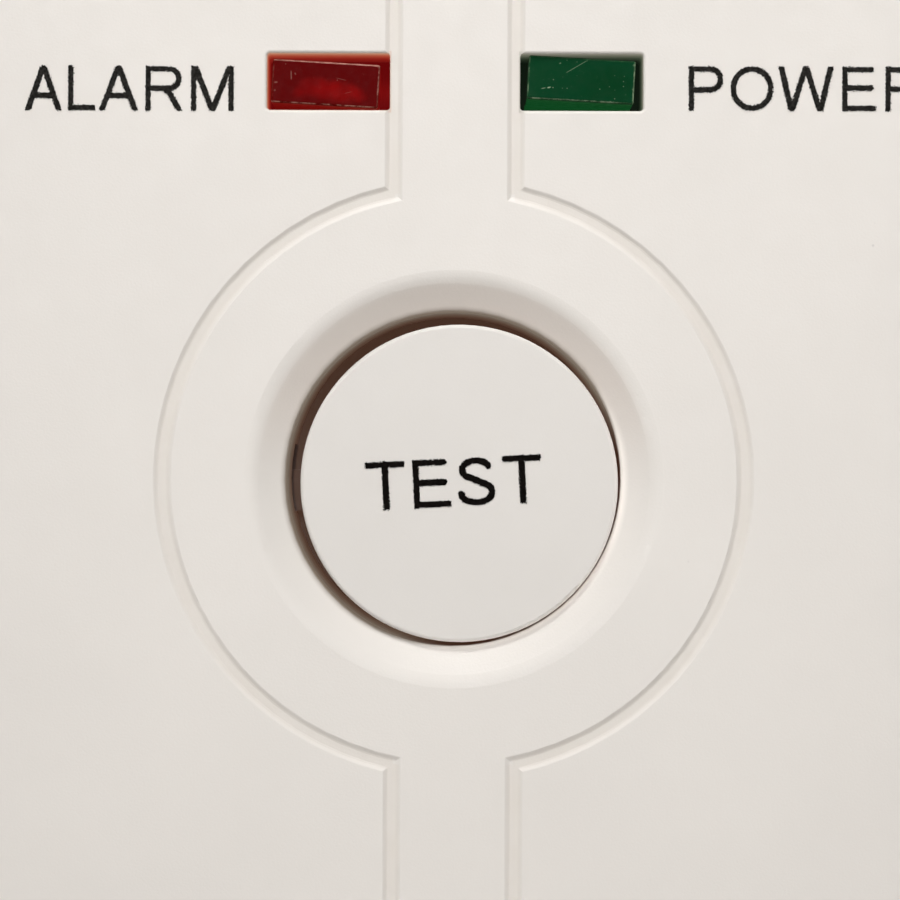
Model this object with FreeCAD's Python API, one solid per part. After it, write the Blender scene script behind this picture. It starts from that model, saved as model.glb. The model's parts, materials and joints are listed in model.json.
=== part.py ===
import FreeCAD, Part
import math
import os

from FreeCAD import Vector

# Wall-mounted carbon monoxide alarm. Millimetres. X is to the right as the face is seen, Z is up,
# and the wall is the plane Y = 0, so the face looks along -Y. The test button's hole is on X = Z = 0.

# ---------------------------------------------------------------- driving dimensions
BODY_W = 76.0
BODY_H = 120.0
CORNER_R = 14.0
FACE_INSET = 1.5        # each side of the face stands in from the seam by this much
FACE_Y = -42.0
SEAM_Y = -19.0
SKIRT_Y = -0.6          # rim of the rear housing, just clear of the wall
BACK_Y = -3.2           # outer surface of the back wall, recessed inside the skirt
WALL = 2.0
FACE_EDGE_R = 4.0
BACK_EDGE_R = 1.2
SEAM_GAP = 0.5
TONGUE_T = 0.9
TONGUE_H = 2.4

# test button, its dish and its guide collar
HOLE_R = 7.88
DISH_R = 9.55           # where the dish's slope would meet the face
DISH_DEG = 25.0
DISH_BLEND_R = 1.5
HOLE_EDGE_R = 0.25
COLLAR_R = 9.9
COLLAR_Y = -32.0
KEYWAY_HALF = 1.65
KEYWAY_R = 8.9
BUTTON_R = 7.5
BUTTON_Y = -41.75
BUTTON_SHIFT = (0.26, -0.20)    # the cap hangs loose: right and down of the hole's axis
BUTTON_TURN = 3.0       # and turned anticlockwise by this many degrees
BUTTON_TRAVEL = 0.5
BUTTON_EDGE_R = 0.18
CAP_T = 1.6
SKIRT_T = 1.2
STEM_R = 2.0

# groove that outlines the disc round the button and the band above and below it
RING_R = 13.77
BAND_X = 2.88
GROOVE_TOP = 0.42       # half width at the face, before its lips are rounded
GROOVE_BOTTOM = 0.21    # half width at the bottom
GROOVE_DEPTH = 0.11
GROOVE_EDGE_R = 0.2
GROOVE_RISE = 0.004     # the lips' arcs start this far in front of the face, to cross it at an angle

# indicator windows and the lamps in them
WINDOW_X = 5.97
WINDOW_Z = 18.74
WINDOW_W = 5.80
WINDOW_H = 2.68
WINDOW_R = 0.15
LAMP_W = 5.07
LAMP_H = 2.06
LAMP_L = 7.0
LAMP_LIP = (0.5, 0.62)  # how far the lip at a lamp's foot stands out, sideways and up
LAMP_Y = -41.75
LAMPS = {"alarm": (-6.12, 18.66, 3.3), "power": (5.96, 18.88, 3.1)}    # x, z, lean in degrees

# slots for sound and gas
SLOT_ROWS = 6
SLOT_PITCH = 4.0
SLOT_FIRST_Z = 28.0
SLOT_H = 1.7
SLOT_X0 = 6.4
SLOT_X1 = 28.4
SLOT_CHAMFER = 0.35
SIDE_SLOT_Y0 = -36.0
SIDE_SLOT_Y1 = -25.5

# circuit board
BOARD_BACK = -23.4
BOARD_FRONT = -25.0
BOARD_W = 62.0
BOARD_H = 108.0
BOARD_R = 6.0
POSTS = [(s * 26.0, z) for s in (-1, 1) for z in (24.0, -24.0)]
POST_R = 2.8
COLUMNS = [(-33.0, -44.0), (33.0, -44.0), (-30.0, 51.0), (30.0, 51.0)]
COLUMN_R = 3.2

# battery bay, cells and door
BAY_X = 28.7
BAY_Z0 = -55.2
BAY_Z1 = -10.8
BAY_WALL = 1.2
BAY_FLOOR = -20.2
CELL_R = 7.1
CELL_PITCH = 14.5
CELL_Y = -12.75
CELL_BODY_L = 49.2
CELL_NUB_L = 1.3
CONTACT_T = 0.4
DOOR_T = 1.8
DOOR_GAP = 0.2
HINGE_Y = -4.3
HINGE_Z = -53.9
BARREL_R = 1.1
PIN_R = 0.8
PIN_CLEARANCE = 0.08

# wall plate and its hooks
PLATE_X = 27.0
PLATE_Z0 = -3.0
PLATE_Z1 = 50.0
PLATE_T = 2.4
PLATE_R = 5.0
SCREW_X = 20.0
SCREW_Z = 23.0
SCREW_R = 2.25
SCREW_HEAD_R = 4.1
HOOKS = [(s * 20.0, z) for s in (-1, 1) for z in (4.0, 36.0)]
HOOK_W = 8.0
HOOK_STEM = 2.0
HOOK_LIP = 4.5
HOOK_LIP_Y = -5.5
HOOK_TIP_Y = -7.4
UNHOOK_TRAVEL = 6.0


# ---------------------------------------------------------------- helpers
def box(x0, x1, y0, y1, z0, z1):
    corner = Vector(min(x0, x1), min(y0, y1), min(z0, z1))
    return Part.makeBox(abs(x1 - x0), abs(y1 - y0), abs(z1 - z0), corner)


def rod(x, z, radius, y0, y1):
    """Cylinder along Y."""
    return Part.makeCylinder(radius, abs(y1 - y0), Vector(x, min(y0, y1), z), Vector(0, 1, 0))


def rod_x(y, z, radius, x0, x1):
    """Cylinder along X."""
    return Part.makeCylinder(radius, abs(x1 - x0), Vector(min(x0, x1), y, z), Vector(1, 0, 0))


def tube(x, z, outer, inner, y0, y1):
    return rod(x, z, outer, y0, y1).cut(rod(x, z, inner, y0, y1))


def rounded_wire(width, height, radius, y, cx=0.0, cz=0.0):
    """Rectangle with round corners, in the plane at that y."""
    hw, hh = width / 2, height / 2
    k = radius * (1 - math.sqrt(0.5))
    edges = []
    corners = [(1, 1), (-1, 1), (-1, -1), (1, -1)]
    starts, middles, ends = [], [], []
    for i, (sx, sz) in enumerate(corners):
        on_side = Vector(cx + sx * hw, y, cz + sz * (hh - radius))
        on_top = Vector(cx + sx * (hw - radius), y, cz + sz * hh)
        starts.append(on_side if i % 2 == 0 else on_top)
        ends.append(on_top if i % 2 == 0 else on_side)
        middles.append(Vector(cx + sx * (hw - k), y, cz + sz * (hh - k)))
    for i in range(4):
        edges.append(Part.Arc(starts[i], middles[i], ends[i]).toShape())
        following = starts[(i + 1) % 4]
        if (ends[i] - following).Length > 1e-6:
            edges.append(Part.LineSegment(ends[i], following).toShape())
    return Part.Wire(edges)


def slab(width, height, radius, y0, y1, cx=0.0, cz=0.0):
    face = Part.Face(rounded_wire(width, height, radius, min(y0, y1), cx, cz))
    return face.extrude(Vector(0, abs(y1 - y0), 0))


def tapered(size_a, y_a, size_b, y_b, cx=0.0, cz=0.0):
    """Solid between two rounded rectangles, each given as (width, height, corner radius)."""
    wires = [rounded_wire(*size_a, y_a, cx, cz), rounded_wire(*size_b, y_b, cx, cz)]
    return Part.makeLoft(wires, True, True)


def turned(points, arcs=()):
    """Solid turned about Y from (radius, y) points; arcs maps a point's index to the arc's middle point."""
    arcs = dict(arcs)
    edges = []
    for i, (r, y) in enumerate(points):
        a = Vector(r, y, 0)
        b = Vector(*points[(i + 1) % len(points)], 0)
        if i in arcs:
            edges.append(Part.Arc(a, Vector(*arcs[i], 0), b).toShape())
        else:
            edges.append(Part.LineSegment(a, b).toShape())
    return Part.Face(Part.Wire(edges)).revolve(Vector(0, 0, 0), Vector(0, 1, 0), 360)


def join(solids):
    first = solids[0]
    return first.fuse(solids[1:]).removeSplitter() if len(solids) > 1 else first


def edges_where(shape, test):
    return [e for e in shape.Edges if test(e)]


def lies_at_y(edge, y, tol=1e-4):
    b = edge.BoundBox
    return abs(b.YMin - y) < tol and abs(b.YMax - y) < tol


def coil(radius, wire_r, height, turns):
    """Helix of round wire standing on the origin along +Z, swept along four arcs a turn."""
    def point(step):
        angle = step * math.pi / 4
        return Vector(radius * math.cos(angle), radius * math.sin(angle), height * step / (8 * turns))

    arcs = [Part.Arc(point(i), point(i + 1), point(i + 2)).toShape() for i in range(0, int(8 * turns), 2)]
    start = arcs[0].valueAt(arcs[0].FirstParameter)
    tangent = arcs[0].tangentAt(arcs[0].FirstParameter)
    ring = Part.Wire(Part.makeCircle(wire_r, start, tangent))
    return Part.Wire(arcs).makePipeShell([ring], True, True)


def save(name, shape):
    solids = shape if isinstance(shape, list) else [shape]
    flat = [s for item in solids for s in item.Solids]
    for s in flat:
        if not s.isValid() or s.Volume <= 0:
            print("PROBLEM", name, s.isValid(), s.Volume)
    out = flat[0] if len(flat) == 1 else Part.makeCompound(flat)
    out.exportStep(os.path.join("parts", name + ".step"))
    print(f"{name}: {len(flat)} solid(s), {sum(s.Volume for s in flat):.1f} mm3")


# ---------------------------------------------------------------- front cover
def face_size(y, shrink=0.0):
    """Outline of the front cover at that y, standing in by shrink: width, height, corner radius."""
    inset = FACE_INSET * (SEAM_Y - y) / (SEAM_Y - FACE_Y) + shrink
    return BODY_W - 2 * inset, BODY_H - 2 * inset, CORNER_R - inset


def cover_envelope():
    seam = SEAM_Y - SEAM_GAP / 2
    solid = tapered(face_size(seam), seam, face_size(FACE_Y), FACE_Y)
    rim = edges_where(solid, lambda e: lies_at_y(e, FACE_Y))
    return solid.makeFillet(FACE_EDGE_R, rim)


def cover_hollow():
    seam = SEAM_Y - SEAM_GAP / 2 + 0.1
    inner_y = FACE_Y + WALL
    solid = tapered(face_size(seam, WALL), seam, face_size(inner_y, WALL), inner_y)
    rim = edges_where(solid, lambda e: lies_at_y(e, inner_y))
    return solid.makeFillet(FACE_EDGE_R - WALL, rim)


def trench_outline(z):
    """Section of the groove with rounded lips and corners, open above the face, at that height."""
    slope = math.atan2(GROOVE_DEPTH, GROOVE_TOP - GROOVE_BOTTOM)
    reach = GROOVE_EDGE_R * math.tan(slope / 2)
    run, fall = reach * math.cos(slope), reach * math.sin(slope)
    arc_x, arc_y = GROOVE_EDGE_R * math.sin(slope / 2), GROOVE_EDGE_R * (1 - math.cos(slope / 2))
    profile = [(GROOVE_TOP + reach, 0.0), (GROOVE_TOP + reach - arc_x, arc_y), (GROOVE_TOP - run, fall),
               (GROOVE_BOTTOM + run, GROOVE_DEPTH - fall),
               (GROOVE_BOTTOM - reach + arc_x, GROOVE_DEPTH - arc_y), (GROOVE_BOTTOM - reach, GROOVE_DEPTH)]
    left = [Vector(BAND_X - x, FACE_Y - GROOVE_RISE + y, z) for x, y in profile]
    right = [Vector(BAND_X + x, FACE_Y - GROOVE_RISE + y, z) for x, y in reversed(profile)]
    lid = Vector(0, -0.4, 0)
    edges = []
    for a, b, c, d, e, f in (left, right):
        edges += [Part.Arc(a, b, c).toShape(), Part.LineSegment(c, d).toShape(), Part.Arc(d, e, f).toShape()]
    edges.insert(3, Part.LineSegment(left[-1], right[0]).toShape())
    lines = Part.makePolygon([right[-1], right[-1] + lid, left[0] + lid, left[0]]).Edges
    return Part.Wire(edges + lines)


def groove_cutters():
    """Right and left halves of the groove: down the band's line, round the button, and down the line again."""
    corner_z = math.sqrt(RING_R ** 2 - BAND_X ** 2)
    top, bottom = Vector(BAND_X, FACE_Y, BODY_H / 2 + 5), Vector(BAND_X, FACE_Y, -BODY_H / 2 - 5)
    upper, lower = Vector(BAND_X, FACE_Y, corner_z), Vector(BAND_X, FACE_Y, -corner_z)
    path = Part.Wire([Part.LineSegment(top, upper).toShape(),
                      Part.Arc(upper, Vector(RING_R, FACE_Y, 0), lower).toShape(),
                      Part.LineSegment(lower, bottom).toShape()])
    mitred = 1
    right = path.makePipeShell([trench_outline(top.z)], True, False, mitred)
    return [right, right.mirror(Vector(0, 0, 0), Vector(1, 0, 0))]


def dish_cutter():
    """Button hole with the shallow cone round it."""
    rise = math.tan(math.radians(DISH_DEG))
    above = FACE_Y - 1.0
    return turned([(0, above), (DISH_R + 1.0 / rise, above), (HOLE_R, FACE_Y + (DISH_R - HOLE_R) * rise),
                   (HOLE_R, COLLAR_Y + 2), (0, COLLAR_Y + 2)])


def slot_cutter(x0, x1, z):
    """Round-ended slot through the face, with a chamfered mouth."""
    length, cx = x1 - x0, (x0 + x1) / 2
    r = SLOT_H / 2 - 0.001
    c = SLOT_CHAMFER
    through = slab(length, SLOT_H, r, FACE_Y - 1, FACE_Y + WALL + 1, cx, z)
    mouth = tapered((length + 2 * c, SLOT_H + 2 * c, r + c), FACE_Y, (length, SLOT_H, r), FACE_Y + c, cx, z)
    cap = slab(length + 2 * c, SLOT_H + 2 * c, r + c, FACE_Y - 1, FACE_Y, cx, z)
    return join([through, mouth, cap])


def slot_cutters():
    cutters = []
    for row in range(SLOT_ROWS):
        z = SLOT_FIRST_Z + row * SLOT_PITCH
        outer = SLOT_X1 - (2.2 if row == SLOT_ROWS - 1 else 0.0)
        for sz in (-1, 1):
            cutters += [slot_cutter(SLOT_X0, outer, sz * z), slot_cutter(-outer, -SLOT_X0, sz * z)]
    return cutters


def side_slot_cutters():
    """Round-ended slots through both side walls, beside the gas sensor."""
    cutters = []
    length, middle = SIDE_SLOT_Y1 - SIDE_SLOT_Y0, (SIDE_SLOT_Y0 + SIDE_SLOT_Y1) / 2
    r = SLOT_H / 2
    for row in range(SLOT_ROWS):
        z = SLOT_FIRST_Z - 6.0 + row * SLOT_PITCH
        for sx in (-1, 1):
            x0, x1 = sorted((sx * 30.5, sx * 45.0))
            body = box(x0, x1, SIDE_SLOT_Y0 + r, SIDE_SLOT_Y1 - r, z - r, z + r)
            ends = [rod_x(middle + s * (length / 2 - r), z, r, x0, x1) for s in (-1, 1)]
            cutters.append(join([body] + ends))
    return cutters


def window_cutter(sx):
    return slab(WINDOW_W, WINDOW_H, WINDOW_R, FACE_Y - 1, FACE_Y + WALL + 5, sx * WINDOW_X, WINDOW_Z)


def front_cover():
    envelope = cover_envelope()
    inner_y = FACE_Y + WALL
    shell = envelope.cut(cover_hollow())
    # inside the seam the wall thins to take the rear housing's tongue
    seam = SEAM_Y - SEAM_GAP / 2
    half = TONGUE_T + 0.2
    shell = shell.cut(slab(*face_size(seam, WALL - half), seam + 1, seam - TONGUE_H + 0.1))
    collar = rod(0, 0, COLLAR_R, inner_y - 0.5, COLLAR_Y)
    shields = [slab(WINDOW_W + 2.0, WINDOW_H + 2.0, 1.0, inner_y - 0.5, inner_y + 3.5, s * WINDOW_X, WINDOW_Z)
               for s in (-1, 1)]
    chamber = tube(0, -38.0, 14.6, 13.4, inner_y - 0.5, inner_y + 3.4)
    posts = [rod(x, z, POST_R, inner_y - 0.5, BOARD_FRONT - 0.02) for x, z in POSTS]
    bosses = [rod(x, z, COLUMN_R - 0.2, inner_y - 0.5, SEAM_Y - 0.3) for x, z in COLUMNS]
    inner_parts = join([collar] + shields + [chamber] + posts + bosses).common(envelope)
    cover = shell.fuse(inner_parts)
    cover = cover.cut(dish_cutter())
    rim = edges_where(cover, lambda e: lies_at_y(e, FACE_Y) and isinstance(e.Curve, Part.Circle)
                      and abs(e.Curve.Radius - DISH_R) < 0.01)
    cover = cover.makeFillet(DISH_BLEND_R, rim)
    mouth = edges_where(cover, lambda e: isinstance(e.Curve, Part.Circle)
                        and abs(e.Curve.Radius - HOLE_R) < 0.01 and e.BoundBox.YMax < FACE_Y + 1.5)
    cover = cover.makeFillet(HOLE_EDGE_R, mouth)
    # keyways in the collar for the cap's two keys
    keyway = box(-KEYWAY_R, KEYWAY_R, COLLAR_Y - 2.8, COLLAR_Y + 1, -KEYWAY_HALF, KEYWAY_HALF)
    cover = cover.cut(keyway)
    for s in (-1, 1):
        cover = cover.cut(window_cutter(s))
    lip = edges_where(cover, lambda e: lies_at_y(e, FACE_Y) and abs(e.BoundBox.Center.z - WINDOW_Z) < 2
                      and abs(abs(e.BoundBox.Center.x) - WINDOW_X) < 3.2)
    cover = cover.makeFillet(0.15, lip)
    cover = cover.cut(groove_cutters())
    cover = cover.cut(Part.makeCompound(slot_cutters()))
    cover = cover.cut(Part.makeCompound(side_slot_cutters()))
    for x, z in POSTS:
        cover = cover.cut(rod(x, z, 0.95, BOARD_FRONT - 7, BOARD_FRONT + 1))
    for x, z in COLUMNS:
        cover = cover.cut(rod(x, z, 1.3, SEAM_Y - 11, SEAM_Y))
    return cover


# ---------------------------------------------------------------- rear housing
def rear_envelope():
    solid = slab(BODY_W, BODY_H, CORNER_R, SEAM_Y + SEAM_GAP / 2, SKIRT_Y)
    rim = edges_where(solid, lambda e: lies_at_y(e, SKIRT_Y))
    return solid.makeFillet(BACK_EDGE_R, rim)


def bay_shell():
    """Walls and floor of the battery bay, open to the back."""
    w = BAY_WALL
    outside = box(-BAY_X - w, BAY_X + w, BAY_FLOOR - w, BACK_Y - 0.5, BAY_Z0 - w, BAY_Z1 + w)
    return outside


def cell_axis_z(i):
    """Height of a cell's axis, cell 0 at the top."""
    middle = (BAY_Z0 + BAY_Z1) / 2
    return middle + (1 - i) * CELL_PITCH


def rear_housing():
    envelope = rear_envelope()
    seam = SEAM_Y + SEAM_GAP / 2
    front_hollow = slab(BODY_W - 2 * WALL, BODY_H - 2 * WALL, CORNER_R - WALL, seam - 1, BACK_Y - WALL)
    back_recess = slab(BODY_W - 4.8, BODY_H - 4.8, CORNER_R - 2.4, BACK_Y, SKIRT_Y + 1)
    shell = envelope.cut(front_hollow).cut(back_recess)
    out_size = face_size(SEAM_Y, WALL - TONGUE_T - 0.03)
    in_size = face_size(SEAM_Y, WALL)
    tongue = slab(*out_size, seam + 0.6, SEAM_Y - TONGUE_H + 0.2).cut(slab(*in_size, seam + 2, SEAM_Y - 5))
    columns = [rod(x, z, COLUMN_R, BACK_Y - 0.5, seam) for x, z in COLUMNS]
    ribs = [box(-0.6, 0.6, -9.0, BACK_Y - 1, BAY_Z1 + 0.5, 57.0),
            box(-35.0, 35.0, -8.6, BACK_Y - 1, 23.4, 24.6)]
    body = join([shell, tongue, bay_shell()] + columns + ribs)
    # room for the cells, and two cradles that hold them in line
    room = box(-BAY_X, BAY_X, BAY_FLOOR, BACK_Y + 1, BAY_Z0, BAY_Z1)
    cells = [rod_x(CELL_Y, cell_axis_z(i), CELL_R + 0.15, -40, 40) for i in range(3)]
    cradles = join([box(s * 13.0, s * 14.2, BAY_FLOOR - 0.3, BAY_FLOOR + 3.4, BAY_Z0, BAY_Z1) for s in (-1, 1)])
    cradles = cradles.cut(Part.makeCompound(cells))
    ledges = [box(sx * (BAY_X - 1.4), sx * (BAY_X + 0.4), BACK_Y - DOOR_T - 0.05, BACK_Y - DOOR_T - 1.3, z, z + 2.4)
              for sx in (-1, 1) for z in (cell_axis_z(1) - 8.4, cell_axis_z(0) - 8.4)]
    body = body.cut(room).fuse([cradles] + ledges)
    # hinge sockets in the bay's side walls
    reach = BAY_X + BAY_WALL - 0.2
    body = body.cut(rod_x(HINGE_Y, HINGE_Z, PIN_R + PIN_CLEARANCE, -reach, reach))
    # hook slots, fingertip recess over the door's latch, screw wells
    for x, z in HOOKS:
        body = body.cut(slab(HOOK_W + 0.8, UNHOOK_TRAVEL + HOOK_STEM + 0.55, 0.6, BACK_Y - WALL - 1, BACK_Y + 1,
                             x, z + (HOOK_STEM + 0.05 - UNHOOK_TRAVEL - 0.5) / 2))
    body = body.cut(rod(0, BAY_Z1 + 0.6, 6.5, BACK_Y - 1.2, BACK_Y + 1).common(
        box(-8, 8, BACK_Y - 1.2, BACK_Y + 1, BAY_Z1 - 1, BAY_Z1 + 8)))
    for x, z in COLUMNS:
        body = body.cut(rod(x, z, 2.55, SEAM_Y + 4.4, BACK_Y + 1))
        body = body.cut(rod(x, z, 1.5, SEAM_Y - 1, BACK_Y))
    # slots in the bay's floor for the two battery contacts' solder tabs
    for x, z in ((-1, cell_axis_z(0)), (1, cell_axis_z(2))):
        cx = x * (BAY_X - 0.3)
        body = body.cut(box(cx - 0.35, cx + 0.35, BAY_FLOOR - 3, BAY_FLOOR + 0.4, z - 1.7, z + 1.7))
    return body


# ---------------------------------------------------------------- battery door and cells
def battery_door():
    """Door plate with a hinge barrel at its foot and a sprung latch tongue at its top."""
    x = BAY_X - DOOR_GAP
    top = BAY_Z1 - DOOR_GAP
    plate = box(-x, x, BACK_Y - DOOR_T, BACK_Y, HINGE_Z, top)
    barrel = rod_x(HINGE_Y, HINGE_Z, BARREL_R, -x, x)
    pins = rod_x(HINGE_Y, HINGE_Z, PIN_R, -x - 1.1, x + 1.1)
    ribs = [box(sx * 12.0 - 0.6, sx * 12.0 + 0.6, BACK_Y - DOOR_T - 0.5, BACK_Y - DOOR_T + 0.2, -50.0, -16.0)
            for sx in (-1, 1)]
    nose = box(-4.5, 4.5, BACK_Y - DOOR_T - 1.4, BACK_Y - DOOR_T + 0.2, top - 1.6, top)
    grips = [box(-4.6, 4.6, BACK_Y - 0.2, BACK_Y + 0.6, top - 2.4 - 1.7 * i, top - 1.6 - 1.7 * i) for i in range(3)]
    door = join([plate, barrel, pins, nose] + ribs + grips)
    for s in (-1, 1):
        door = door.cut(box(s * 5.6, s * 6.4, BACK_Y - 4, BACK_Y + 2, top - 12.0, top + 1))
    return door


def battery_cell(i):
    """Round cell lying along X; cells 0 and 2 have their positive end to the left."""
    s = -1 if i % 2 == 0 else 1
    z = cell_axis_z(i)
    positive = s * (BAY_X - CONTACT_T - 0.62)
    shoulder = positive - s * CELL_NUB_L
    body = rod_x(CELL_Y, z, CELL_R, shoulder, shoulder - s * CELL_BODY_L)
    rims = edges_where(body, lambda e: isinstance(e.Curve, Part.Circle))
    nub = rod_x(CELL_Y, z, 2.75, positive, shoulder)
    return join([body.makeFillet(0.6, rims), nub])


def contact_plate(side, z0, z1, tab_z=None):
    """Nickel strip on an end wall of the bay, with a solder tab to the board where it is a terminal."""
    x0, x1 = side * BAY_X, side * (BAY_X - CONTACT_T)
    plate = box(x0, x1, -17.8, -8.2, z0, z1)
    if tab_z is None:
        return [plate]
    return [plate, box(x0, x1, BOARD_FRONT - 0.8, -17.0, tab_z - 1.2, tab_z + 1.2)]


def dimple(side, z):
    inner = BAY_X - CONTACT_T
    return Part.makeCone(2.6, 1.6, 0.6, Vector(side * inner, CELL_Y, z), Vector(-side, 0, 0))


def contact_spring(side, z):
    """Compressed coil between an end wall's strip and a cell's flat end."""
    length = 2 * BAY_X - 2 * CONTACT_T - 0.62 - CELL_NUB_L - CELL_BODY_L
    wire_r = 0.35
    spring = coil(3.6, wire_r, length - 2 * wire_r - 0.1, 3.0)
    spring.rotate(Vector(0, 0, 0), Vector(0, 1, 0), -90 * side)
    spring.translate(Vector(side * (BAY_X - CONTACT_T - wire_r), CELL_Y, z))
    return spring


def contacts():
    z = [cell_axis_z(i) for i in range(3)]
    return {
        "positive_contact": [join(contact_plate(-1, z[0] - 4.5, z[0] + 4.5, z[0]) + [dimple(-1, z[0])])],
        "negative_contact": [join(contact_plate(1, z[2] - 4.5, z[2] + 4.5, z[2])), contact_spring(1, z[2])],
        "link_contact_right": [join(contact_plate(1, z[1] - 4.5, z[0] + 4.5) + [dimple(1, z[1])]),
                               contact_spring(1, z[0])],
        "link_contact_left": [join(contact_plate(-1, z[2] - 4.5, z[1] + 4.5) + [dimple(-1, z[2])]),
                              contact_spring(-1, z[1])],
    }


# ---------------------------------------------------------------- test button and switch
def test_button():
    """Loose hollow cap: skirt, stop flange, two keys and the stem that presses the switch."""
    top = rod(0, 0, BUTTON_R, BUTTON_Y, COLLAR_Y + 0.6)
    top = top.makeFillet(BUTTON_EDGE_R, edges_where(top, lambda e: lies_at_y(e, BUTTON_Y)))
    flange = rod(0, 0, BUTTON_R + 1.2, COLLAR_Y + 0.1, COLLAR_Y + 1.1)
    keys = box(-8.5, 8.5, COLLAR_Y - 2.0, COLLAR_Y + 0.5, -1.0, 1.0)
    hollow = rod(0, 0, BUTTON_R - SKIRT_T, BUTTON_Y + CAP_T, COLLAR_Y + 3)
    cap = join([top, flange, keys]).cut(hollow)
    stem_end = SWITCH_TOP - 0.05
    stem = join([rod(0, 0, STEM_R, BUTTON_Y + CAP_T - 0.3, stem_end),
                 box(-3.4, 3.4, BUTTON_Y + CAP_T - 0.3, stem_end - 4.0, -0.5, 0.5),
                 box(-0.5, 0.5, BUTTON_Y + CAP_T - 0.3, stem_end - 4.0, -3.4, 3.4)])
    return seat_button(join([cap, stem]))


def seat_button(shape):
    shape.rotate(Vector(0, 0, 0), Vector(0, -1, 0), BUTTON_TURN)
    right, up = BUTTON_SHIFT
    shape.translate(Vector(right, 0, up))
    return shape


def button_spring():
    """Coil round the stem and the switch, from the board to the inside of the cap."""
    wire_r = 0.25
    length = BOARD_FRONT - (BUTTON_Y + CAP_T) - 2 * wire_r - 0.1
    spring = coil(5.0, wire_r, length, 7.0)
    spring.rotate(Vector(0, 0, 0), Vector(1, 0, 0), 90)
    spring.translate(Vector(0, BOARD_FRONT - wire_r - 0.05, 0))
    return spring


SWITCH_H = 3.5
SWITCH_BASE = BOARD_FRONT - SWITCH_H
SWITCH_TOP = BOARD_FRONT - 5.0
SWITCH_PINS = [(sx * 3.2, sz * 2.25) for sx in (-1, 1) for sz in (-1, 1)]


def switch_body():
    base = box(-3.0, 3.0, BOARD_FRONT, SWITCH_BASE + 0.3, -3.0, 3.0)
    return base.cut(rod(0, 0, 1.95, BOARD_FRONT - 1.4, SWITCH_BASE - 1))


def switch_plate():
    plate = box(-3.0, 3.0, SWITCH_BASE + 0.3, SWITCH_BASE, -3.0, 3.0)
    return plate.cut(rod(0, 0, 1.95, SWITCH_BASE - 1, SWITCH_BASE + 1))


def switch_plunger():
    return rod(0, 0, 1.75, BOARD_FRONT - 2.2, SWITCH_TOP)


def switch_pins():
    return [box(x - 0.15, x + 0.15, BOARD_FRONT - 1.0, BOARD_BACK + 0.6, z - 0.3, z + 0.3)
            for x, z in SWITCH_PINS]


# ---------------------------------------------------------------- lamps
def place_lamp(shape, which):
    x, z, lean = LAMPS[which]
    shape.rotate(Vector(0, 0, 0), Vector(0, 1, 0), lean)
    shape.translate(Vector(x, 0, z))
    return shape


def lamp(which):
    """Rectangular lamp with a lip at its foot."""
    body = box(-LAMP_W / 2, LAMP_W / 2, LAMP_Y, LAMP_Y + LAMP_L, -LAMP_H / 2, LAMP_H / 2)
    front = edges_where(body, lambda e: lies_at_y(e, LAMP_Y) or abs(e.BoundBox.YLength - LAMP_L) < 0.01)
    body = body.makeFillet(0.12, front)
    x, z = LAMP_W / 2 + LAMP_LIP[0], LAMP_H / 2 + LAMP_LIP[1]
    lip = box(-x, x, LAMP_Y + LAMP_L - 1.6, LAMP_Y + LAMP_L, -z, z)
    return place_lamp(join([body, lip]), which)


def lamp_leads(which):
    back = LAMP_Y + LAMP_L
    leads = [box(s * 1.27 - 0.25, s * 1.27 + 0.25, back, BOARD_BACK + 0.9, -0.25, 0.25) for s in (-1, 1)]
    return [place_lamp(lead, which) for lead in leads]


# ---------------------------------------------------------------- sensor, sounder, electronics
SENSOR_Z = 38.0
SENSOR_R = 10.0
SENSOR_PINS = [(7.0 * math.sin(math.radians(a)), SENSOR_Z + 7.0 * math.cos(math.radians(a))) for a in (0, 120, 240)]
SOUNDER_Z = -38.0
SOUNDER_R = 15.0
SOUNDER_PINS = [(-7.5, SOUNDER_Z), (7.5, SOUNDER_Z)]
CAPACITORS = [(-20.0, 2.0, 4.0), (-20.0, -9.0, 3.15), (21.0, -6.0, 3.15)]    # x, z, radius
INDUCTOR = (19.0, 6.5)
TRANSISTORS = [(-14.0, 12.5), (14.5, 15.0)]


def sensor_body():
    """Electrochemical cell: moulded drum with an open well for its cap."""
    drum = rod(0, SENSOR_Z, SENSOR_R, BOARD_FRONT - 0.5, BOARD_FRONT - 11.5)
    foot = [rod(x, z, 1.0, BOARD_FRONT, BOARD_FRONT - 0.6) for x, z in SENSOR_PINS]
    return join([drum] + foot)


def sensor_cap():
    """Steel cap with the ring of gas inlets."""
    y0, y1 = BOARD_FRONT - 11.5, BOARD_FRONT - 13.7
    cap = rod(0, SENSOR_Z, SENSOR_R - 1.0, y0, y1)
    cap = cap.makeFillet(0.5, edges_where(cap, lambda e: lies_at_y(e, y1)))
    holes = [rod(0, SENSOR_Z, 0.8, y0 + 1, y1 - 1)]
    holes += [rod(3.6 * math.cos(a), SENSOR_Z + 3.6 * math.sin(a), 0.6, y0 + 1, y1 - 1)
              for a in (k * math.pi / 3 for k in range(6))]
    return cap.cut(Part.makeCompound(holes))


def pins(places, radius, top=BOARD_FRONT):
    return [rod(x, z, radius, top, BOARD_BACK + 0.9) for x, z in places]


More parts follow.
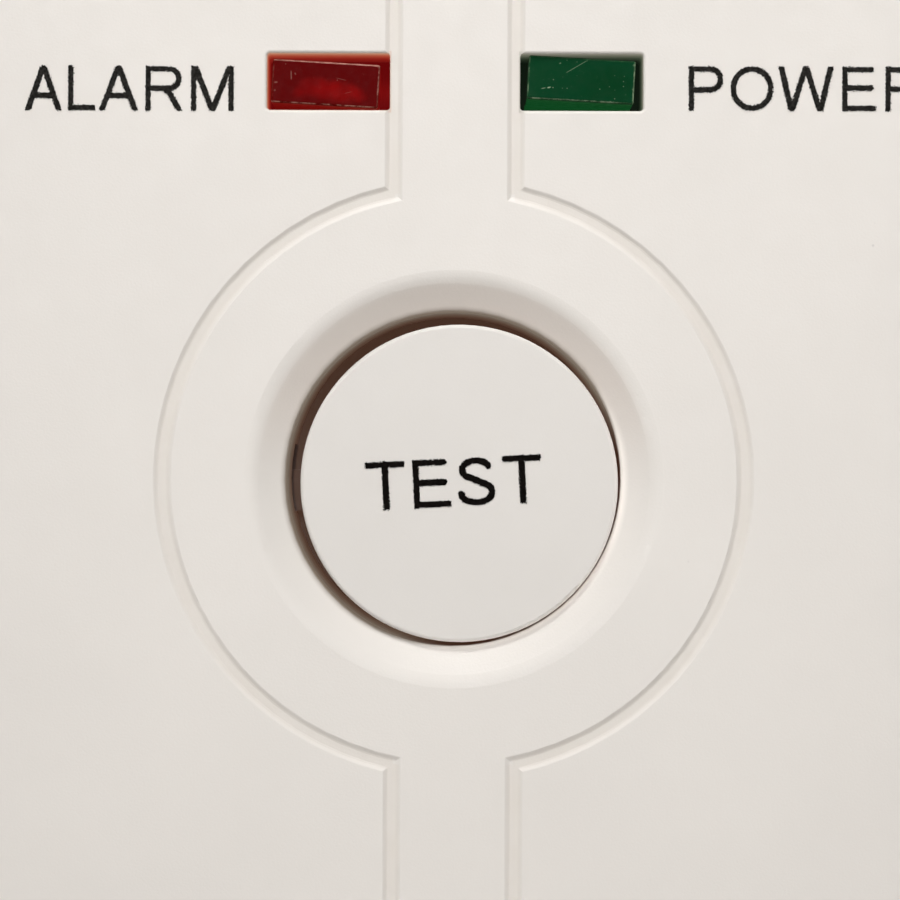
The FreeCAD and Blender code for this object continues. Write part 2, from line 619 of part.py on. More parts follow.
def sounder_case():
    """Sounder shell, open at the back, with a sound hole in the front."""
    y0, y1 = BOARD_FRONT - 0.3, BOARD_FRONT - 11.2
    case = rod(0, SOUNDER_Z, SOUNDER_R, y0, y1)
    case = case.makeFillet(0.8, edges_where(case, lambda e: lies_at_y(e, y1)))
    case = case.cut(rod(0, SOUNDER_Z, SOUNDER_R - 1.4, y0 + 1, y1 + 1.4))
    case = case.cut(rod(0, SOUNDER_Z, 2.2, y0, y1 - 1))
    ledge = tube(0, SOUNDER_Z, SOUNDER_R - 1.0, SOUNDER_R - 3.0, y0 - 5.0, y0 - 6.0)
    return join([case, ledge])


def sounder_disc():
    """Brass disc with the smaller ceramic disc on it."""
    y = BOARD_FRONT - 0.3 - 5.0
    return join([rod(0, SOUNDER_Z, SOUNDER_R - 1.6, y, y + 0.25), rod(0, SOUNDER_Z, 10.0, y + 0.2, y + 0.5)])


def sounder_base():
    """Board that closes the back of the sounder and carries its two pins."""
    return rod(0, SOUNDER_Z, SOUNDER_R - 1.5, BOARD_FRONT - 0.3, BOARD_FRONT - 1.5)


def capacitor(x, z, r):
    can = rod(x, z, r, BOARD_FRONT - 0.3, BOARD_FRONT - (11.0 if r > 3.5 else 8.0))
    groove = tube(x, z, r + 1, r - 0.3, BOARD_FRONT - 1.6, BOARD_FRONT - 2.2)
    return can.cut(groove)


def two_leads(x, z, r, spread):
    return [rod(x + s * spread, z, r, BOARD_FRONT - 0.3, BOARD_BACK + 0.9) for s in (-1, 1)]


def inductor():
    """Drum core with its winding sunk between two flanges."""
    x, z = INDUCTOR
    drum = rod(x, z, 4.2, BOARD_FRONT - 0.3, BOARD_FRONT - 9.3)
    return drum.cut(tube(x, z, 5.0, 3.0, BOARD_FRONT - 1.5, BOARD_FRONT - 8.1))


def inductor_winding():
    x, z = INDUCTOR
    return tube(x, z, 3.9, 3.02, BOARD_FRONT - 1.55, BOARD_FRONT - 8.05)


def transistor(x, z):
    """Half-round small-signal package."""
    body = rod(x, z, 2.4, BOARD_FRONT - 2.0, BOARD_FRONT - 6.6)
    return body.cut(box(x - 3, x + 3, BOARD_FRONT, BOARD_FRONT - 8, z + 1.2, z + 3))


def transistor_leads(x, z):
    return [rod(x + k * 1.27, z, 0.22, BOARD_FRONT - 2.0, BOARD_BACK + 0.9) for k in (-1, 0, 1)]


CHIP_X, CHIP_Z = -14.0, 27.0


def controller_chip():
    body = box(CHIP_X - 1.95, CHIP_X + 1.95, BOARD_FRONT - 0.15, BOARD_FRONT - 1.6, CHIP_Z - 4.9, CHIP_Z + 4.9)
    return body.makeFillet(0.12, edges_where(body, lambda e: lies_at_y(e, BOARD_FRONT - 1.6)))


def chip_legs():
    legs = []
    for k in range(8):
        z = CHIP_Z - 4.445 + 1.27 * k
        for s in (-1, 1):
            x = CHIP_X + s * 1.95
            foot = box(x + s * 0.4, x + s * 1.1, BOARD_FRONT, BOARD_FRONT - 0.2, z - 0.2, z + 0.2)
            riser = box(x + s * 0.2, x + s * 0.45, BOARD_FRONT, BOARD_FRONT - 0.9, z - 0.2, z + 0.2)
            shoulder = box(x, x + s * 0.45, BOARD_FRONT - 0.7, BOARD_FRONT - 0.9, z - 0.2, z + 0.2)
            legs.append(join([foot, riser, shoulder]))
    return legs


CHIP_PARTS = [(-5.5 + 3.6 * i, 26.0 - 5.0 * j) for i in range(2) for j in range(2)]
CHIP_PARTS += [(11.0 + 3.4 * i, 27.5 - 3.0 * j) for i in range(3) for j in range(3)]
CHIP_PARTS += [(-24.5 + 3.4 * i, -20.0) for i in range(2)] + [(17.5, -15.5), (17.5, -18.5)]


def chip_parts():
    return [box(x - 1.0, x + 1.0, BOARD_FRONT, BOARD_FRONT - 0.6, z - 0.62, z + 0.62) for x, z in CHIP_PARTS]


def lead_places():
    """Every place where a lead passes through the board."""
    places = [(x, z) for x, z in SWITCH_PINS]
    for x, z, lean in LAMPS.values():
        a = math.radians(lean)
        places += [(x + s * 1.27 * math.cos(a), z - s * 1.27 * math.sin(a)) for s in (-1, 1)]
    places += SENSOR_PINS + SOUNDER_PINS
    for x, z, r in CAPACITORS:
        places += [(x - r * 0.45, z), (x + r * 0.45, z)]
    x, z = INDUCTOR
    places += [(x - 2.5, z), (x + 2.5, z)]
    for x, z in TRANSISTORS:
        places += [(x + k * 1.27, z) for k in (-1, 0, 1)]
    return places


def circuit_board():
    board = slab(BOARD_W, BOARD_H, BOARD_R, BOARD_FRONT, BOARD_BACK)
    holes = [rod(x, z, 0.55, BOARD_FRONT - 1, BOARD_BACK + 1) for x, z in lead_places()]
    holes += [rod(x, z, COLUMN_R + 0.6, BOARD_FRONT - 1, BOARD_BACK + 1) for x, z in COLUMNS]
    holes += [rod(x, z, 1.3, BOARD_FRONT - 1, BOARD_BACK + 1) for x, z in POSTS]
    for s, z in ((-1, cell_axis_z(0)), (1, cell_axis_z(2))):
        cx = s * (BAY_X - 0.3)
        holes.append(box(cx - 0.4, cx + 0.4, BOARD_FRONT - 1, BOARD_BACK + 1, z - 1.5, z + 1.5))
    return board.cut(Part.makeCompound(holes))


def solder_joints():
    """Small cones on the back of the board, one round each lead."""
    joints = []
    for x, z in lead_places():
        cone = Part.makeCone(0.95, 0.6, 0.55, Vector(x, BOARD_BACK, z), Vector(0, 1, 0))
        joints.append(cone.cut(rod(x, z, 0.5, BOARD_BACK - 1, BOARD_BACK + 2)))
    return joints


# ---------------------------------------------------------------- fasteners, label, wall plate
def screw(x, z, head_r, head_h, shank_r, seat_y, length):
    """Pan-head screw driven along -Y, its head's underside on seat_y, with a cross recess."""
    head = rod(x, z, head_r, seat_y, seat_y + head_h)
    head = head.makeFillet(head_h * 0.45, edges_where(head, lambda e: lies_at_y(e, seat_y + head_h)))
    shank = rod(x, z, shank_r, seat_y + 0.2, seat_y - length + shank_r)
    tip = Part.makeCone(shank_r, 0.25, shank_r, Vector(x, seat_y - length + shank_r, z), Vector(0, -1, 0))
    bit = head_r * 0.62
    cross = [box(x - bit, x + bit, seat_y + head_h * 0.4, seat_y + head_h + 1, z - 0.3, z + 0.3),
             box(x - 0.3, x + 0.3, seat_y + head_h * 0.4, seat_y + head_h + 1, z - bit, z + bit)]
    return join([head, shank, tip]).cut(Part.makeCompound(cross))


def case_screws():
    return [screw(x, z, 2.3, 1.9, 1.25, SEAM_Y + 4.4, 13.0) for x, z in COLUMNS]


def board_screws():
    return [screw(x, z, 1.9, 1.4, 0.9, BOARD_BACK, 7.0) for x, z in POSTS]


def door_label():
    return slab(44.0, 24.0, 1.5, BACK_Y, BACK_Y + 0.1, 0.0, -37.5)


def wall_plate():
    """Flat plate with two countersunk screw holes and four hooks that point up."""
    height, middle = PLATE_Z1 - PLATE_Z0, (PLATE_Z1 + PLATE_Z0) / 2
    plate = slab(2 * PLATE_X, height, PLATE_R, -PLATE_T, 0.0, 0.0, middle)
    front = edges_where(plate, lambda e: lies_at_y(e, -PLATE_T))
    plate = plate.makeFillet(0.5, front)
    hooks = []
    for x, z in HOOKS:
        stem = box(x - HOOK_W / 2, x + HOOK_W / 2, HOOK_TIP_Y, -PLATE_T + 0.5, z, z + HOOK_STEM)
        lip = box(x - HOOK_W / 2, x + HOOK_W / 2, HOOK_TIP_Y, HOOK_LIP_Y, z, z + HOOK_STEM + HOOK_LIP)
        lip = lip.makeChamfer(0.8, edges_where(lip, lambda e: abs(e.BoundBox.ZMin - z - HOOK_STEM - HOOK_LIP) < 0.01
                                               and e.BoundBox.XLength > 1 and abs(e.BoundBox.YMin - HOOK_LIP_Y) < 0.01))
        hooks.append(join([stem, lip]))
    plate = join([plate] + hooks)
    for s in (-1, 1):
        x = s * SCREW_X
        plate = plate.cut(rod(x, SCREW_Z, SCREW_R, -10, 1))
        depth = PLATE_T - 0.8
        sink = Part.makeCone(SCREW_HEAD_R + 0.5, SCREW_R, depth + 0.5, Vector(x, -PLATE_T - 0.5, SCREW_Z), Vector(0, 1, 0))
        plate = plate.cut(sink)
    # raised arrow that shows which way up the plate goes
    tip, foot = Vector(0, -PLATE_T, 34.0), -PLATE_T
    arrow = Part.Face(Part.makePolygon([tip, Vector(-4, foot, 28), Vector(4, foot, 28), tip])).extrude(Vector(0, -0.4, 0))
    return plate.fuse(arrow).removeSplitter()


# ---------------------------------------------------------------- write every piece
def main():
    os.makedirs("parts", exist_ok=True)
    save("wall_plate", wall_plate())
    save("front_cover", front_cover())
    save("rear_housing", rear_housing())
    save("battery_door", battery_door())
    save("door_label", door_label())
    save("test_button", test_button())
    save("button_spring", button_spring())
    save("switch_body", switch_body())
    save("switch_plate", switch_plate())
    save("switch_plunger", switch_plunger())
    save("switch_pins", switch_pins())
    for which in LAMPS:
        save(which + "_lamp", lamp(which))
        save(which + "_lamp_leads", lamp_leads(which))
    save("sensor_body", sensor_body())
    save("sensor_cap", sensor_cap())
    save("sensor_pins", pins(SENSOR_PINS, 0.45))
    save("sounder_case", sounder_case())
    save("sounder_disc", sounder_disc())
    save("sounder_base", sounder_base())
    save("sounder_pins", pins(SOUNDER_PINS, 0.4, BOARD_FRONT - 0.3))
    save("circuit_board", circuit_board())
    save("solder_joints", solder_joints())
    save("controller_chip", controller_chip())
    save("chip_legs", chip_legs())
    save("chip_parts", chip_parts())
    save("capacitors", [capacitor(*c) for c in CAPACITORS])
    save("capacitor_leads", [lead for x, z, r in CAPACITORS for lead in two_leads(x, z, 0.3, r * 0.45)])
    save("inductor_core", inductor())
    save("inductor_winding", inductor_winding())
    save("inductor_leads", two_leads(*INDUCTOR, 0.3, 2.5))
    save("transistors", [transistor(*t) for t in TRANSISTORS])
    save("transistor_leads", [lead for t in TRANSISTORS for lead in transistor_leads(*t)])
    for i, place in enumerate(("top", "middle", "bottom")):
        save(place + "_cell", battery_cell(i))
    for name, pieces in contacts().items():
        save(name, pieces)
    save("case_screws", case_screws())
    save("board_screws", board_screws())


main()
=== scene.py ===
"""Looks of a wall-mounted carbon monoxide alarm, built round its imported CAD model."""
import json
import math

import bpy
import numpy as np
from mathutils import Matrix, Vector, noise


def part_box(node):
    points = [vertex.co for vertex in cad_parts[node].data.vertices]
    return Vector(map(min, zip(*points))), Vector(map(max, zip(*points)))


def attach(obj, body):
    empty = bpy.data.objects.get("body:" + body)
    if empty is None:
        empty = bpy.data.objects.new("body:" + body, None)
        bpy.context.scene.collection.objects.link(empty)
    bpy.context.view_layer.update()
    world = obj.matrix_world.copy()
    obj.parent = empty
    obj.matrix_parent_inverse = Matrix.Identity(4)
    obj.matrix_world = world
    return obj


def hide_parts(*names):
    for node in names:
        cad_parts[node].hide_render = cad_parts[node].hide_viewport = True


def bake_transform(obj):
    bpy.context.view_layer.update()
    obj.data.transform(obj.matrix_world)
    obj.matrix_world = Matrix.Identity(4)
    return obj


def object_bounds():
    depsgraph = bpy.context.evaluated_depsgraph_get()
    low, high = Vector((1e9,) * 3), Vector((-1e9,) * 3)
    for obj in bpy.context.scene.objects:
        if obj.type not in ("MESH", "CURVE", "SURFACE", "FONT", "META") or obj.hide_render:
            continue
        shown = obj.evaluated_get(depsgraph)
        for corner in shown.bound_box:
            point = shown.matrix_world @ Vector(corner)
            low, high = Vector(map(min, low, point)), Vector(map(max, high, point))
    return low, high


MM = 0.001


# ---------------------------------------------------------------- frame
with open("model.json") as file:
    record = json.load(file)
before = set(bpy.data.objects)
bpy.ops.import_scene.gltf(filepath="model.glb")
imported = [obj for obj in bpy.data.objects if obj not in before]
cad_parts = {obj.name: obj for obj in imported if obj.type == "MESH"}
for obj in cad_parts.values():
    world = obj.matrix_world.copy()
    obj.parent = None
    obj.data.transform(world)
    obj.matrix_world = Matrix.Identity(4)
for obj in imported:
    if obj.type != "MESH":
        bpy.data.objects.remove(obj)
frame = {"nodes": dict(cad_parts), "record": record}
nodes = frame["nodes"]
cad_lo, cad_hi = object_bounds()


def span(node, axis):
    lo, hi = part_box(node)
    return lo[axis], hi[axis]


def middle(node):
    lo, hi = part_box(node)
    return (Vector(lo) + Vector(hi)) / 2


FACE_Y = span("front_cover", 1)[0]
CAP_Y = span("test_button", 1)[0]
FLOOR_Z = cad_lo[2]

# the button's hole is on the origin's axis; the cap hangs loose in it and is turned a little
HOLE_R = 7.88 * MM
CAP_R = 7.5 * MM
CAP_TURN = math.radians(3.0)
CAP_AT = (0.26 * MM, 0, -0.20 * MM)
KEYWAY_HALF = 1.65 * MM
DISH_RIM = (9.3 * MM, 10.4 * MM)     # where the dish's slope curves into the face

# the groove: a disc round the button, and a band above and below it
RING_R = 13.77 * MM
BAND_X = 2.88 * MM
GROOVE_HALF = 0.30 * MM

# the lamps' and their windows' half widths and half heights; the lamps lean
LAMP_HALF = (2.535 * MM, 1.03 * MM)
LAMP_LEAN = {"alarm_lamp": math.radians(3.3), "power_lamp": math.radians(3.1)}
WINDOW_X = 5.97 * MM
WINDOW_Z = 18.74 * MM
WINDOW_HALF = (2.90 * MM, 1.34 * MM)

# lettering
FACE_HEIGHT = 2.12 * MM
TEST_HEIGHT = 2.30 * MM
FACE_STROKE = 0.27 * MM
TEST_STROKE = 0.31 * MM
FACE_RAGGED = 0.12 * MM
TEST_RAGGED = 0.11 * MM
ALARM_Z = 17.33 * MM
POWER_Z = 17.41 * MM
TEST_CORNER = Vector((-4.09, 0, -1.52)) * MM
INK_T = 0.022 * MM
INK_LIFT = 0.002 * MM
INK_PITCH = 0.022 * MM       # grid that the ink's outline is traced on
RAG = 0.060 * MM             # size of the ragged edge's waves
END_ROUND = 0.085 * MM       # how far strokes round off at their cut ends


# ---------------------------------------------------------------- camera, light and floor
FRAME_W = 42.45 * MM
CAMERA_X = -0.18 * MM
CAMERA_Z = 1.375 * MM
LENS = 195.0
SENSOR = 36.0
ROLL = math.radians(-0.2)

# the key light stands near, so the face is brighter at its top; colours and strengths of the studio
KEY_FAR = 0.32
AIM = 0.043                  # the key and the front light point this far above the face's middle
WARM, PLAIN = (1.0, 0.992, 0.98), (1.0, 0.998, 0.995)
STUDIO_LIGHT, STUDIO_LOOK = 0.05, 0.80
FLOOR_GLOW = 0.36

# the two off-white plastics
WHITE = (0.768, 0.730, 0.688)
BUTTON_WHITE = (0.708, 0.676, 0.640)


def make_camera():
    data = bpy.data.cameras.new("camera")
    data.lens = LENS
    data.sensor_width = SENSOR
    cam = bpy.data.objects.new("camera", data)
    bpy.context.scene.collection.objects.link(cam)
    distance = FRAME_W * LENS / SENSOR
    cam.location = (CAMERA_X, FACE_Y - distance, CAMERA_Z)
    cam.rotation_mode = "QUATERNION"
    look = Vector((0, 1, 0)).to_track_quat("-Z", "Y")
    cam.rotation_quaternion = Matrix.Rotation(ROLL, 3, "Y").to_quaternion() @ look
    data.clip_start, data.clip_end = 0.01, 20
    bpy.context.scene.camera = cam


def area_light(name, place, target, size, watts, colour, spread):
    data = bpy.data.lights.new(name, "AREA")
    data.shape = "RECTANGLE"
    data.size = data.size_y = size
    data.energy = watts
    data.color = colour
    data.spread = math.radians(spread)
    light = bpy.data.objects.new(name, data)
    bpy.context.scene.collection.objects.link(light)
    light.location = place
    light.rotation_mode = "QUATERNION"
    light.rotation_quaternion = (Vector(target) - Vector(place)).to_track_quat("-Z", "Y")
    light.visible_camera = False


def from_face(off_axis, turn, distance):
    """A place seen from the middle of the face: degrees off its normal, then degrees clockwise from up."""
    off, turn = math.radians(off_axis), math.radians(turn)
    return (distance * math.sin(off) * math.sin(turn), FACE_Y - distance * math.cos(off),
            distance * math.sin(off) * math.cos(turn))


def make_lights():
    face, above, middle_of_body = (0, FACE_Y, 0), (0, FACE_Y, AIM), (0, 0, 0)
    area_light("key_softbox", from_face(60, -3, KEY_FAR), above, 0.10, 0.0385, WARM, 36)
    area_light("upper_left_softbox", from_face(60, -50, 0.8), face, 0.4, 0.044, WARM, 32)
    area_light("front_softbox", from_face(15, 0, 0.9), above, 0.30, 0.144, PLAIN, 25)
    area_light("right_softbox", (0.75, 0.45, 0.40), middle_of_body, 0.5, 0.42, PLAIN, 40)
    area_light("left_softbox", (-0.75, 0.45, 0.35), middle_of_body, 0.5, 0.36, PLAIN, 40)
    area_light("back_softbox", (0.1, 1.0, 0.65), middle_of_body, 0.7, 0.60, WARM, 40)


def make_world():
    """The studio's walls look pale, but light the alarm only a little."""
    world = bpy.data.worlds.new("studio")
    bpy.context.scene.world = world
    world.use_nodes = True
    tree = world.node_tree
    background = tree.nodes["Background"]
    background.inputs["Color"].default_value = (*PLAIN, 1)
    strength = tree.nodes.new("ShaderNodeMix")
    strength.inputs["A"].default_value = STUDIO_LIGHT
    strength.inputs["B"].default_value = STUDIO_LOOK
    tree.links.new(tree.nodes.new("ShaderNodeLightPath").outputs["Is Camera Ray"], strength.inputs["Factor"])
    tree.links.new(strength.outputs["Result"], background.inputs["Strength"])


def floor_paint():
    """Pale paint that looks evenly lit, but throws only its own bounce on the alarm."""
    m = Maker("floor_paint")
    m.put(Base_Color=(0.62, 0.60, 0.575), Specular_IOR_Level=0.2)
    m.put(Roughness=m.ramp(m.noise(0.05, detail=4), 0.3, 0.7, 0.62, 0.74), Emission_Color=(0.96, 0.95, 0.93))
    seen = m.add("ShaderNodeLightPath").outputs["Is Camera Ray"]
    m.put(Emission_Strength=m.times(seen, FLOOR_GLOW))
    return m.material


def make_floor():
    mesh = bpy.data.meshes.new("floor")
    reach = 3.0
    mesh.from_pydata([(-reach, -reach, FLOOR_Z), (reach, -reach, FLOOR_Z), (reach, reach, FLOOR_Z),
                      (-reach, reach, FLOOR_Z)], [], [(0, 1, 2, 3)])
    floor = bpy.data.objects.new("floor", mesh)
    bpy.context.scene.collection.objects.link(floor)
    floor.data.materials.append(floor_paint())


# ---------------------------------------------------------------- material helpers
class Maker:
    """One node material, with short calls for the nodes it uses."""

    def __init__(self, name):
        self.material = bpy.data.materials.new(name)
        self.material.use_nodes = True
        self.tree = self.material.node_tree
        self.tree.nodes.clear()
        self.out = self.add("ShaderNodeOutputMaterial")
        self.shader = self.add("ShaderNodeBsdfPrincipled")
        self.link(self.shader.outputs["BSDF"], self.out.inputs["Surface"])
        self.where = self.add("ShaderNodeTexCoord").outputs["Object"]

    def add(self, kind, **settings):
        node = self.tree.nodes.new(kind)
        for key, value in settings.items():
            setattr(node, key, value)
        return node

    def link(self, a, b):
        self.tree.links.new(a, b)

    def feed(self, socket, value):
        if isinstance(value, bpy.types.NodeSocket):
            self.link(value, socket)
        elif isinstance(value, (tuple, list)) and len(value) == 3 and socket.type == "RGBA":
            socket.default_value = (*value, 1)
        else:
            socket.default_value = value

    def put(self, **values):
        """Sets or links inputs of the Principled shader, named with underscores for spaces."""
        for key, value in values.items():
            self.feed(self.shader.inputs[key.replace("_", " ")], value)

    def noise(self, cycles_per_mm, detail=3.0, rough=0.5, where=None):
        node = self.add("ShaderNodeTexNoise")
        self.link(where or self.where, node.inputs["Vector"])
        node.inputs["Scale"].default_value = cycles_per_mm / MM
        node.inputs["Detail"].default_value = detail
        node.inputs["Roughness"].default_value = rough
        return node.outputs["Fac"]

    def cells(self, cycles_per_mm, feature="F1"):
        node = self.add("ShaderNodeTexVoronoi", feature=feature)
        self.link(self.where, node.inputs["Vector"])
        node.inputs["Scale"].default_value = cycles_per_mm / MM
        return node

    def ramp(self, value, low, high, to_low=0.0, to_high=1.0, smooth=True):
        node = self.add("ShaderNodeMapRange", interpolation_type="SMOOTHSTEP" if smooth else "LINEAR")
        self.feed(node.inputs["Value"], value)
        self.feed(node.inputs["From Min"], low)
        self.feed(node.inputs["From Max"], high)
        self.feed(node.inputs["To Min"], to_low)
        self.feed(node.inputs["To Max"], to_high)
        return node.outputs["Result"]

    def math(self, operation, a, b=0.0):
        node = self.add("ShaderNodeMath", operation=operation)
        self.feed(node.inputs[0], a)
        self.feed(node.inputs[1], b)
        return node.outputs[0]

    def fall(self, value, low, high, top=1.0):
        """A ramp that goes down, from top at low to nothing at high."""
        return self.ramp(value, low, high, top, 0.0)

    def times(self, first, *others):
        for other in others:
            first = self.math("MULTIPLY", first, other)
        return first

    def apart(self, a, b):
        """How far two values are from each other."""
        return self.math("ABSOLUTE", self.math("SUBTRACT", a, b))

    def squares(self, a, b):
        return self.math("ADD", self.times(a, a), self.times(b, b))

    def mix(self, share, a, b):
        node = self.add("ShaderNodeMix", data_type="RGBA")
        self.feed(node.inputs["Factor"], share)
        self.feed(node.inputs["A"], a)
        self.feed(node.inputs["B"], b)
        return node.outputs["Result"]

    def split(self, vector=None):
        node = self.add("ShaderNodeSeparateXYZ")
        self.link(vector or self.where, node.inputs[0])
        return node.outputs

    def moved(self, offset=(0, 0, 0), turn=(0, 0, 0), scale=(1, 1, 1)):
        """Object coordinates about another point: offset first, then turn, then scale."""
        shift = self.add("ShaderNodeVectorMath", operation="SUBTRACT")
        self.link(self.where, shift.inputs[0])
        shift.inputs[1].default_value = offset
        node = self.add("ShaderNodeMapping")
        self.link(shift.outputs[0], node.inputs["Vector"])
        node.inputs["Rotation"].default_value = turn
        node.inputs["Scale"].default_value = scale
        return node.outputs["Vector"]

    def bump(self, height, depth_mm, under=None):
        node = self.add("ShaderNodeBump")
        node.inputs["Strength"].default_value = 1.0
        node.inputs["Distance"].default_value = depth_mm * MM
        self.feed(node.inputs["Height"], height)
        if under is not None:
            self.link(under, node.inputs["Normal"])
        return node.outputs["Normal"]


def scaled(colour, share):
    """A colour times a number, or times another colour."""
    shares = share if isinstance(share, tuple) else (share, share, share)
    return tuple(c * k for c, k in zip(colour, shares))


# ---------------------------------------------------------------- materials
def plastic(name, colour, roughness=0.45, grain=0.006, flow=0.012, specks=0.0, marks=()):
    """Moulded plastic: fine satin grain, faint uneven colour, dust specks, and marks where told.

    Each mark is a call that returns a share, the colour that it lays there and the painted light that it adds
    as emission, or None.
    """
    m = Maker(name)
    uneven = m.ramp(m.noise(0.09, detail=4), 0.3, 0.7)
    shade = m.mix(uneven, scaled(colour, 1 - flow), scaled(colour, 1 + flow))
    if specks:
        near = m.cells(0.45)
        dot = m.fall(near.outputs["Distance"], 0.015, 0.04)
        chosen = m.ramp(m.split(near.outputs["Color"])[0], 0.86, 0.88)
        shade = m.mix(m.times(dot, chosen, specks), shade, scaled(colour, 0.7))
    light = None
    for mark in marks:
        share, paint, painted_light = mark(m)
        shade = m.mix(share, shade, paint)
        if painted_light is not None:
            light = m.mix(share, light or (0, 0, 0), painted_light)
    m.put(Base_Color=shade, IOR=1.5, Specular_IOR_Level=0.35)
    # emission from the marks is painted light, not a lamp
    if light is not None:
        m.put(Emission_Color=light, Emission_Strength=1.0)
    m.put(Roughness=m.ramp(m.noise(1.3, detail=5), 0.3, 0.7, roughness - 0.05, roughness + 0.07))
    if grain:
        waves = m.bump(m.noise(0.35, detail=1.0), grain * 1.6)
        m.put(Normal=m.bump(m.noise(9.0, detail=2.0), grain, under=waves))
    return m.material


def below_face(m):
    """Depth below the face, in millimetres."""
    return m.math("DIVIDE", m.math("SUBTRACT", m.split()[1], FACE_Y), MM)


def from_axis(m):
    """Distance from the axis of the button's hole."""
    x, _, z = m.split()
    return m.math("SQRT", m.squares(x, z))


def toward_lower_right(m):
    """How far a point is from the hole's axis, measured down and to the right."""
    x, _, z = m.split()
    return m.math("SUBTRACT", m.times(x, 0.75), m.times(z, 0.66))


def lower_lip_painted_light(m):
    """Painted light on the hole's lower lip, as emission that lifts the shade the cap would cast there."""
    share = m.times(m.fall(from_axis(m), HOLE_R + 0.07 * MM, HOLE_R + 0.47 * MM),
                    m.ramp(below_face(m), 0.3, 0.45), m.ramp(toward_lower_right(m), 1.5 * MM, 6.0 * MM))
    return share, WHITE, (0.23, 0.215, 0.20)


def cap_rim_painted_light(m):
    """The same painted light, as emission, in the cap's rounded rim towards the lower right."""
    x, _, z = m.split(m.moved(offset=CAP_AT))
    r = m.math("SQRT", m.squares(x, z))
    share = m.times(m.ramp(r, CAP_R - 0.23 * MM, CAP_R), m.fall(below_face(m), 0.44, 0.50),
                    m.ramp(toward_lower_right(m), 1.5 * MM, 6.0 * MM))
    return share, BUTTON_WHITE, (0.20, 0.187, 0.173)


def dish_painted_shade(m):
    """Painted shade on the dish's upper slope: it is painted a little warmer and darker than the face."""
    share = m.times(m.fall(from_axis(m), *DISH_RIM), m.ramp(below_face(m), 0.02, 0.25),
                    m.ramp(m.split()[2], -1.0 * MM, 5.0 * MM))
    return share, scaled(WHITE, (0.955, 0.92, 0.90)), None


def hole_wall_painted_shade_and_light(m):
    """Painted shade and light on the hole's wall: it is painted from plastic to dark brown with depth, and
    emission stands in for light in the plastic, darker towards the lower right where the cap shades it.
    """
    depth = below_face(m)
    start = m.ramp(toward_lower_right(m), 1.0 * MM, 6.0 * MM, 0.60, 0.76)
    share = m.times(m.fall(from_axis(m), HOLE_R + 0.42 * MM, HOLE_R + 0.62 * MM),
                    m.ramp(depth, start, m.math("ADD", start, 0.22)), m.fall(depth, 12.0, 12.5))
    upper = m.mix(m.ramp(depth, 0.7, 5.0, smooth=False), (0.14, 0.118, 0.093), (0.100, 0.066, 0.047))
    painted_light = m.mix(m.ramp(depth, 5.0, 9.0, smooth=False), upper, (0.062, 0.031, 0.020))
    painted_light = m.mix(m.ramp(toward_lower_right(m), 2.0 * MM, 5.5 * MM), painted_light, (0.034, 0.012, 0.006))
    return share, (0.07, 0.043, 0.028), painted_light


def collar_floor_painted_shade_and_light(m):
    """Painted shade on the cap's flange at the bottom of the gap, with emission as painted light for its
    brightness, and deeper painted shade in the two keyways.
    """
    share = m.ramp(below_face(m), 6.0, 7.0)
    up = m.math("ABSOLUTE", m.split()[2])
    keyway = m.times(m.fall(up, KEYWAY_HALF - 0.10 * MM, KEYWAY_HALF),
                     m.ramp(from_axis(m), HOLE_R - 0.13 * MM, HOLE_R - 0.03 * MM))
    return share, (0.04, 0.023, 0.015), m.mix(keyway, (0.054, 0.026, 0.016), (0.014, 0.006, 0.004))


def groove_painted_shade(m):
    """Faint painted shade in the bottom of the groove, in its ring and in the band's two lines, uneven along
    them.
    """
    x = m.math("ABSOLUTE", m.split()[0])
    r = from_axis(m)
    inner, outer = GROOVE_HALF * 0.5, GROOVE_HALF * 1.6
    ring = m.times(m.fall(m.apart(r, RING_R), inner, outer), m.ramp(x, BAND_X - 0.1 * MM, BAND_X))
    line = m.times(m.fall(m.apart(x, BAND_X), inner, outer), m.ramp(r, RING_R - 0.1 * MM, RING_R))
    uneven = m.ramp(m.noise(0.8, detail=4), 0.3, 0.7, 0.65, 1.0)
    share = m.times(m.math("MAXIMUM", ring, line), m.fall(below_face(m), 0.5, 0.7), uneven)
    return share, scaled(WHITE, (0.955, 0.94, 0.92)), None


def inside_window(m, side):
    """Share of a lamp window's walls and rounded lips; side is -1 for the left window and 1 for the right."""
    x, _, z = m.split()
    half_w, half_h = WINDOW_HALF
    return m.times(m.fall(m.apart(x, side * WINDOW_X), half_w + 0.03 * MM, half_w + 0.09 * MM),
                   m.fall(m.apart(z, WINDOW_Z), half_h + 0.05 * MM, half_h + 0.17 * MM))


def window_wall_painted_light(m, side, paint, glow):
    """Painted light on a lamp window's walls: emission tinted by the lamp over a dark painted shade; glow
    lists depths in millimetres and the painted light at each.
    """
    depth = below_face(m)
    light = glow[0][1]
    for (start, _), (end, colour) in zip(glow, glow[1:]):
        light = m.mix(m.ramp(depth, start, end, smooth=False), light, colour)
    return m.times(inside_window(m, side), m.ramp(depth, 0.0, 0.25)), paint, light


# the red window's walls: dark painted shade and red-tinted painted light
def red_window_painted_light(m):
    return window_wall_painted_light(m, -1, (0.16, 0.02, 0.01), [
        (0.2, (0.46, 0.29, 0.19)), (0.9, (0.41, 0.148, 0.083)), (1.9, (0.335, 0.058, 0.031)),
        (3.4, (0.21, 0.013, 0.008)), (5.5, (0.12, 0.005, 0.004))])


# the green window's walls: dark painted shade and green-tinted painted light
def green_window_painted_light(m):
    return window_wall_painted_light(m, 1, (0.04, 0.05, 0.03), [
        (0.2, (0.25, 0.235, 0.19)), (1.2, (0.125, 0.130, 0.095)), (2.6, (0.042, 0.054, 0.034)),
        (4.2, (0.010, 0.016, 0.009)), (5.5, (0.005, 0.009, 0.005))])


